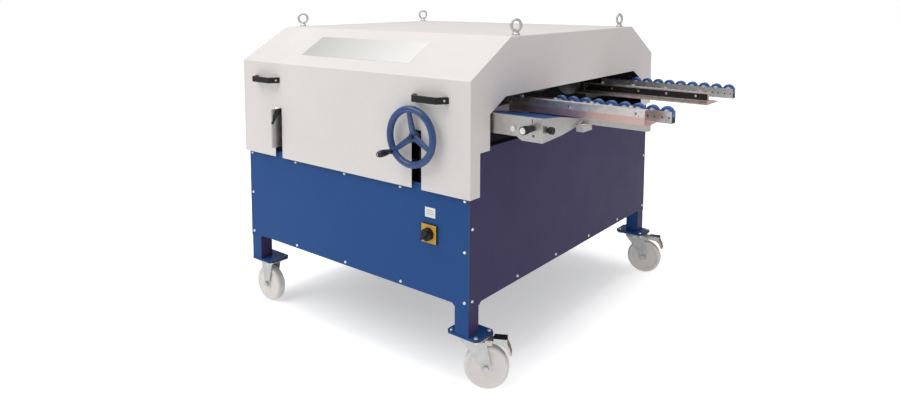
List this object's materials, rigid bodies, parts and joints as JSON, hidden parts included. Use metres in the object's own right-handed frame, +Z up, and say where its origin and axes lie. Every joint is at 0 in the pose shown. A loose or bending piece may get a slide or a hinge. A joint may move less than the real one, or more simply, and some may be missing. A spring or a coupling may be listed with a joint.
{
  "type": "roll forming machine",
  "caption": "Sheet-metal roll-forming machine on casters: hinged grey hood, blue cabinet, handwheel width setting and two skate-wheel infeed rails.",
  "frame": {"origin": "bottom centre of the bounding box, on the floor", "axes": "+X towards the infeed guides, +Y towards the rear, +Z up"},
  "size_m": [1.746, 1.653, 1.305],
  "materials": {
    "frame_blue": "powder coat, traffic blue",
    "hood_grey": "powder coat, light grey",
    "galvanised": "galvanised sheet",
    "zinc": "zinc plated",
    "machined": "machined steel",
    "cast_grey": "primed casting",
    "aluminium_rail": "plain extrusion",
    "wheel_blue": "painted casting",
    "black_plastic": "moulded",
    "switch_yellow": "moulded",
    "polyamide": "moulded",
    "skate_blue": "moulded",
    "plate_silver": "printed sheet"
  },
  "bodies": {
    "machine": {"base_frame": "frame_blue", "front_panel": "frame_blue", "rear_panel": "frame_blue", "end_panels": "frame_blue", "fasteners": "zinc", "fixed_caster_forks": "zinc", "swivel_caster_heads": "zinc", "main_switch": "switch_yellow", "hinge_leaves": "zinc", "screw_bearings": "cast_grey", "near_roll_stand": "machined", "near_rolls": "machined", "guide_rods": "machined", "gear_motor": "cast_grey", "near_guide_plate": "galvanised", "near_guide_rail": "aluminium_rail", "guide_bracket": "galvanised", "clamp_plate": "galvanised"},
    "hood": {"hood_shell": "hood_grey", "hood_handles": "black_plastic", "lifting_eyes": "zinc", "name_plate": "plate_silver", "hinge_straps": "zinc"},
    "handwheel": {"handwheel": "wheel_blue", "lead_screw": "machined"},
    "grip": {"handwheel_grip": "black_plastic"},
    "far_stand": {"far_roll_stand": "machined", "far_rolls": "machined", "far_guide_plate": "galvanised", "far_guide_rail": "aluminium_rail"},
    "switch_knob": {"switch_knob": "black_plastic"},
    "dial_knob": {"dial_knob": "black_plastic"},
    "side_knob": {"side_knob": "black_plastic"},
    "clamp_lever": {"clamp_lever": "black_plastic"},
    "swivel_front": {"swivel_fork_front": "zinc"},
    "swivel_rear": {"swivel_fork_rear": "zinc"},
    "pedal_front": {"brake_pedal_front": "black_plastic"},
    "pedal_rear": {"brake_pedal_rear": "black_plastic"},
    "wheel_front_left": {"caster_wheel_front_left": "polyamide"},
    "wheel_rear_left": {"caster_wheel_rear_left": "polyamide"},
    "wheel_front_right": {"caster_wheel_front_right": "polyamide"},
    "wheel_rear_right": {"caster_wheel_rear_right": "polyamide"},
    "near_skate_1": {"near_skate_1": "skate_blue"},
    "near_skate_2": {"near_skate_2": "skate_blue"},
    "near_skate_3": {"near_skate_3": "skate_blue"},
    "near_skate_4": {"near_skate_4": "skate_blue"},
    "near_skate_5": {"near_skate_5": "skate_blue"},
    "near_skate_6": {"near_skate_6": "skate_blue"},
    "near_skate_7": {"near_skate_7": "skate_blue"},
    "near_skate_8": {"near_skate_8": "skate_blue"},
    "near_skate_9": {"near_skate_9": "skate_blue"},
    "far_skate_1": {"far_skate_1": "skate_blue"},
    "far_skate_2": {"far_skate_2": "skate_blue"},
    "far_skate_3": {"far_skate_3": "skate_blue"},
    "far_skate_4": {"far_skate_4": "skate_blue"},
    "far_skate_5": {"far_skate_5": "skate_blue"},
    "far_skate_6": {"far_skate_6": "skate_blue"},
    "far_skate_7": {"far_skate_7": "skate_blue"},
    "far_skate_8": {"far_skate_8": "skate_blue"},
    "far_skate_9": {"far_skate_9": "skate_blue"}
  },
  "joints": [
    {"name": "hood_hinge", "type": "hinge", "parent": "machine", "child": "hood", "pos_m": [-0.242, 0.8185, 0.846], "axis": [-1, 0, 0], "range_deg": [0, 60]},
    {"name": "handwheel_turn", "type": "hinge", "parent": "machine", "child": "handwheel", "pos_m": [0.145, -0.7385, 0.89], "axis": [0, 1, 0], "range_deg": [-15840, 1440]},
    {"name": "grip_spin", "type": "hinge", "parent": "handwheel", "child": "grip", "pos_m": [0.06288, -0.7895, 0.83034], "axis": [0, 1, 0], "continuous": true},
    {"name": "far_stand_slide", "type": "slide", "parent": "machine", "child": "far_stand", "axis": [0, 1, 0], "range_m": [-0.44, 0.04]},
    {"name": "switch_turn", "type": "hinge", "parent": "machine", "child": "switch_knob", "pos_m": [0.197, -0.7095, 0.542], "axis": [0, 1, 0], "range_deg": [0, 90]},
    {"name": "dial_turn", "type": "hinge", "parent": "machine", "child": "dial_knob", "pos_m": [0.544, -0.6135, 0.947], "axis": [0, 1, 0], "range_deg": [-180, 180]},
    {"name": "side_knob_turn", "type": "hinge", "parent": "machine", "child": "side_knob", "pos_m": [0.593, -0.5475, 0.94], "axis": [1, 0, 0], "range_deg": [-180, 180]},
    {"name": "clamp_lever_swing", "type": "hinge", "parent": "machine", "child": "clamp_lever", "pos_m": [-0.622, -0.7195, 0.896], "axis": [-1, 0, 0], "range_deg": [0, 70]},
    {"name": "swivel_front_turn", "type": "hinge", "parent": "machine", "child": "swivel_front", "pos_m": [0.337, -0.6405, 0.18], "axis": [0, 0, 1], "continuous": true},
    {"name": "wheel_front_right_roll", "type": "hinge", "parent": "swivel_front", "child": "wheel_front_right", "pos_m": [0.38723, -0.6115, 0.08], "axis": [-0.5, 0.866, 0], "continuous": true},
    {"name": "pedal_front_press", "type": "hinge", "parent": "swivel_front", "child": "pedal_front", "pos_m": [0.39762, -0.6055, 0.176], "axis": [-0.5, 0.866, 0], "range_deg": [-10, 0]},
    {"name": "wheel_front_left_roll", "type": "hinge", "parent": "machine", "child": "wheel_front_left", "pos_m": [-0.793, -0.6405, 0.08], "axis": [0, 1, 0], "continuous": true},
    {"name": "swivel_rear_turn", "type": "hinge", "parent": "machine", "child": "swivel_rear", "pos_m": [0.337, 0.7515, 0.18], "axis": [0, 0, 1], "continuous": true},
    {"name": "wheel_rear_right_roll", "type": "hinge", "parent": "swivel_rear", "child": "wheel_rear_right", "pos_m": [0.39373, 0.76356, 0.08], "axis": [-0.2079, 0.9781, 0], "continuous": true},
    {"name": "pedal_rear_press", "type": "hinge", "parent": "swivel_rear", "child": "pedal_rear", "pos_m": [0.40547, 0.76605, 0.176], "axis": [-0.2079, 0.9781, 0], "range_deg": [-10, 0]},
    {"name": "wheel_rear_left_roll", "type": "hinge", "parent": "machine", "child": "wheel_rear_left", "pos_m": [-0.793, 0.7515, 0.08], "axis": [0, 1, 0], "continuous": true},
    {"name": "near_skate_1_spin", "type": "hinge", "parent": "machine", "child": "near_skate_1", "pos_m": [0.433, -0.1895, 0.981], "axis": [0, 1, 0], "continuous": true},
    {"name": "near_skate_2_spin", "type": "hinge", "parent": "machine", "child": "near_skate_2", "pos_m": [0.485, -0.1895, 0.981], "axis": [0, 1, 0], "continuous": true},
    {"name": "near_skate_3_spin", "type": "hinge", "parent": "machine", "child": "near_skate_3", "pos_m": [0.537, -0.1895, 0.981], "axis": [0, 1, 0], "continuous": true},
    {"name": "near_skate_4_spin", "type": "hinge", "parent": "machine", "child": "near_skate_4", "pos_m": [0.589, -0.1895, 0.981], "axis": [0, 1, 0], "continuous": true},
    {"name": "near_skate_5_spin", "type": "hinge", "parent": "machine", "child": "near_skate_5", "pos_m": [0.641, -0.1895, 0.981], "axis": [0, 1, 0], "continuous": true},
    {"name": "near_skate_6_spin", "type": "hinge", "parent": "machine", "child": "near_skate_6", "pos_m": [0.693, -0.1895, 0.981], "axis": [0, 1, 0], "continuous": true},
    {"name": "near_skate_7_spin", "type": "hinge", "parent": "machine", "child": "near_skate_7", "pos_m": [0.745, -0.1895, 0.981], "axis": [0, 1, 0], "continuous": true},
    {"name": "near_skate_8_spin", "type": "hinge", "parent": "machine", "child": "near_skate_8", "pos_m": [0.797, -0.1895, 0.981], "axis": [0, 1, 0], "continuous": true},
    {"name": "near_skate_9_spin", "type": "hinge", "parent": "machine", "child": "near_skate_9", "pos_m": [0.849, -0.1895, 0.981], "axis": [0, 1, 0], "continuous": true},
    {"name": "far_skate_1_spin", "type": "hinge", "parent": "far_stand", "child": "far_skate_1", "pos_m": [0.413, 0.5655, 0.981], "axis": [0, 1, 0], "continuous": true},
    {"name": "far_skate_2_spin", "type": "hinge", "parent": "far_stand", "child": "far_skate_2", "pos_m": [0.465, 0.5655, 0.981], "axis": [0, 1, 0], "continuous": true},
    {"name": "far_skate_3_spin", "type": "hinge", "parent": "far_stand", "child": "far_skate_3", "pos_m": [0.517, 0.5655, 0.981], "axis": [0, 1, 0], "continuous": true},
    {"name": "far_skate_4_spin", "type": "hinge", "parent": "far_stand", "child": "far_skate_4", "pos_m": [0.569, 0.5655, 0.981], "axis": [0, 1, 0], "continuous": true},
    {"name": "far_skate_5_spin", "type": "hinge", "parent": "far_stand", "child": "far_skate_5", "pos_m": [0.621, 0.5655, 0.981], "axis": [0, 1, 0], "continuous": true},
    {"name": "far_skate_6_spin", "type": "hinge", "parent": "far_stand", "child": "far_skate_6", "pos_m": [0.673, 0.5655, 0.981], "axis": [0, 1, 0], "continuous": true},
    {"name": "far_skate_7_spin", "type": "hinge", "parent": "far_stand", "child": "far_skate_7", "pos_m": [0.725, 0.5655, 0.981], "axis": [0, 1, 0], "continuous": true},
    {"name": "far_skate_8_spin", "type": "hinge", "parent": "far_stand", "child": "far_skate_8", "pos_m": [0.777, 0.5655, 0.981], "axis": [0, 1, 0], "continuous": true},
    {"name": "far_skate_9_spin", "type": "hinge", "parent": "far_stand", "child": "far_skate_9", "pos_m": [0.829, 0.5655, 0.981], "axis": [0, 1, 0], "continuous": true}
  ],
  "couplings": [
    {"joint": "far_stand_slide", "follows": "handwheel_turn", "m_per_rad": 0.0015915}
  ]
}
